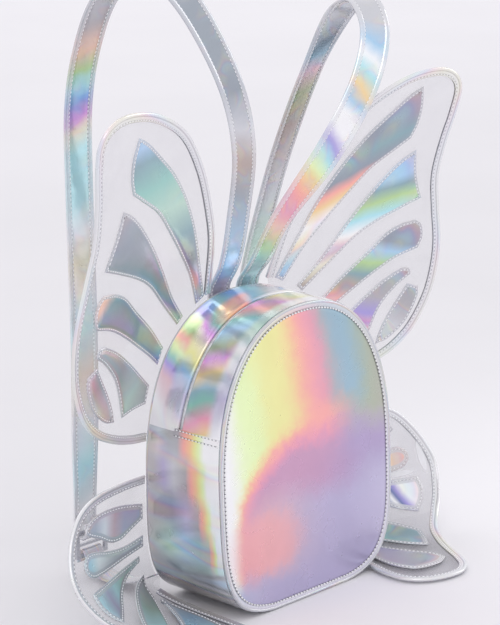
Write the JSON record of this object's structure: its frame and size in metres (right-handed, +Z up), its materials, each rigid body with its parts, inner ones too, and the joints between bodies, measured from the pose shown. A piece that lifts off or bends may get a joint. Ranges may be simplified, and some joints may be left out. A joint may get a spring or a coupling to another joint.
{
  "type": "winged mini backpack",
  "caption": "Small zip-up backpack in iridescent vinyl with four clear appliqued fairy wings sewn into its back seam.",
  "frame": {"origin": "on the floor under the centre of the bag", "axes": "+Z up, -Y out of the front panel, +X to the right seen from the front, +Y towards the wearer's back"},
  "size_m": [0.4506, 0.2435, 0.5332],
  "materials": {
    "holographic_vinyl": "iridescent gloss",
    "holographic_petal": "iridescent gloss",
    "holographic_binding": "iridescent gloss",
    "clear_sheet": "clear gloss",
    "plated_metal": "polished",
    "zip_tape": "woven",
    "zip_teeth": "satin",
    "lining_cloth": "woven",
    "stiffener": "matte"
  },
  "bodies": {
    "bag": {"lower_gusset": "holographic_vinyl", "front_panel": "holographic_vinyl", "back_panel": "holographic_vinyl", "front_rim": "holographic_binding", "back_rim": "holographic_binding", "front_zip_gusset": "holographic_vinyl", "rear_zip_gusset": "holographic_vinyl", "front_zip_tape": "zip_tape", "rear_zip_tape": "zip_tape", "zip_chain": "zip_teeth", "lining_front": "lining_cloth", "lining_back": "lining_cloth", "lining_lower": "lining_cloth", "lining_arch_front": "lining_cloth", "lining_arch_rear": "lining_cloth", "base_board": "stiffener", "strap_yoke": "holographic_vinyl"},
    "left_upper_wing": {"left_upper_wing_membrane": "clear_sheet", "left_upper_wing_binding": "holographic_binding", "left_upper_wing_petal_1": "holographic_petal", "left_upper_wing_petal_2": "holographic_petal", "left_upper_wing_petal_3": "holographic_petal", "left_upper_wing_petal_4": "holographic_petal", "left_upper_wing_petal_5": "holographic_petal"},
    "right_upper_wing": {"right_upper_wing_membrane": "clear_sheet", "right_upper_wing_binding": "holographic_binding", "right_upper_wing_petal_1": "holographic_petal", "right_upper_wing_petal_2": "holographic_petal", "right_upper_wing_petal_3": "holographic_petal", "right_upper_wing_petal_4": "holographic_petal", "right_upper_wing_petal_5": "holographic_petal"},
    "left_lower_wing": {"left_lower_wing_membrane": "clear_sheet", "left_lower_wing_binding": "holographic_binding", "left_lower_wing_petal_1": "holographic_petal", "left_lower_wing_petal_2": "holographic_petal", "left_lower_wing_petal_3": "holographic_petal", "left_lower_wing_petal_4": "holographic_petal", "left_lower_wing_petal_5": "holographic_petal"},
    "right_lower_wing": {"right_lower_wing_membrane": "clear_sheet", "right_lower_wing_binding": "holographic_binding", "right_lower_wing_petal_1": "holographic_petal", "right_lower_wing_petal_2": "holographic_petal", "right_lower_wing_petal_3": "holographic_petal", "right_lower_wing_petal_4": "holographic_petal", "right_lower_wing_petal_5": "holographic_petal"},
    "left_strap_loop": {"left_strap": "holographic_vinyl", "left_webbing": "holographic_vinyl"},
    "left_glide": {"left_triglide": "plated_metal"},
    "right_strap_loop": {"right_strap": "holographic_vinyl", "right_webbing": "holographic_vinyl"},
    "right_glide": {"right_triglide": "plated_metal"},
    "slider": {"zip_slider": "plated_metal"},
    "puller": {"zip_puller": "plated_metal"}
  },
  "joints": [
    {"name": "left_upper_wing_fold", "type": "hinge", "parent": "bag", "child": "left_upper_wing", "pos_m": [-0.103, 0.0438, 0.1867], "axis": [0.573, 0, 0.8195], "range_deg": [-20, 8], "stiffness_Nm_per_rad": 0.05},
    {"name": "right_upper_wing_fold", "type": "hinge", "parent": "bag", "child": "right_upper_wing", "pos_m": [0.103, 0.0438, 0.1867], "axis": [0.573, 0, -0.8195], "range_deg": [-20, 8], "stiffness_Nm_per_rad": 0.05},
    {"name": "left_lower_wing_fold", "type": "hinge", "parent": "bag", "child": "left_lower_wing", "pos_m": [-0.1095, 0.0438, 0.06], "axis": [0, 0, 1], "range_deg": [-40, 0], "stiffness_Nm_per_rad": 0.05},
    {"name": "right_lower_wing_fold", "type": "hinge", "parent": "bag", "child": "right_lower_wing", "pos_m": [0.1095, 0.0438, 0.06], "axis": [0, 0, -1], "range_deg": [-40, 0], "stiffness_Nm_per_rad": 0.05},
    {"name": "left_strap_swing", "type": "hinge", "parent": "bag", "child": "left_strap_loop", "pos_m": [-0.094, 0.0475, 0.02], "axis": [0.3207, 0.013, 0.9471], "range_deg": [-4, 4], "stiffness_Nm_per_rad": 0.05},
    {"name": "right_strap_swing", "type": "hinge", "parent": "bag", "child": "right_strap_loop", "pos_m": [0.094, 0.0475, 0.02], "axis": [-0.3207, 0.013, 0.9471], "range_deg": [-4, 4], "stiffness_Nm_per_rad": 0.05},
    {"name": "left_triglide_rock", "type": "hinge", "parent": "left_strap_loop", "child": "left_glide", "pos_m": [-0.095, 0.1262, 0.03], "axis": [1, 0, 0], "range_deg": [-2, 6], "stiffness_Nm_per_rad": 0.005},
    {"name": "right_triglide_rock", "type": "hinge", "parent": "right_strap_loop", "child": "right_glide", "pos_m": [0.095, 0.1262, 0.03], "axis": [1, 0, 0], "range_deg": [-2, 6], "stiffness_Nm_per_rad": 0.005},
    {"name": "zip_travel", "type": "hinge", "parent": "bag", "child": "slider", "pos_m": [-0.0198, 0.0088, 0.1434], "axis": [0, -0.9987, -0.0519], "range_deg": [0, 27.5]},
    {"name": "puller_swing", "type": "hinge", "parent": "slider", "child": "puller", "pos_m": [0.10352, 0.00729, 0.17278], "axis": [0, -1, 0], "range_deg": [0, 150]}
  ]
}
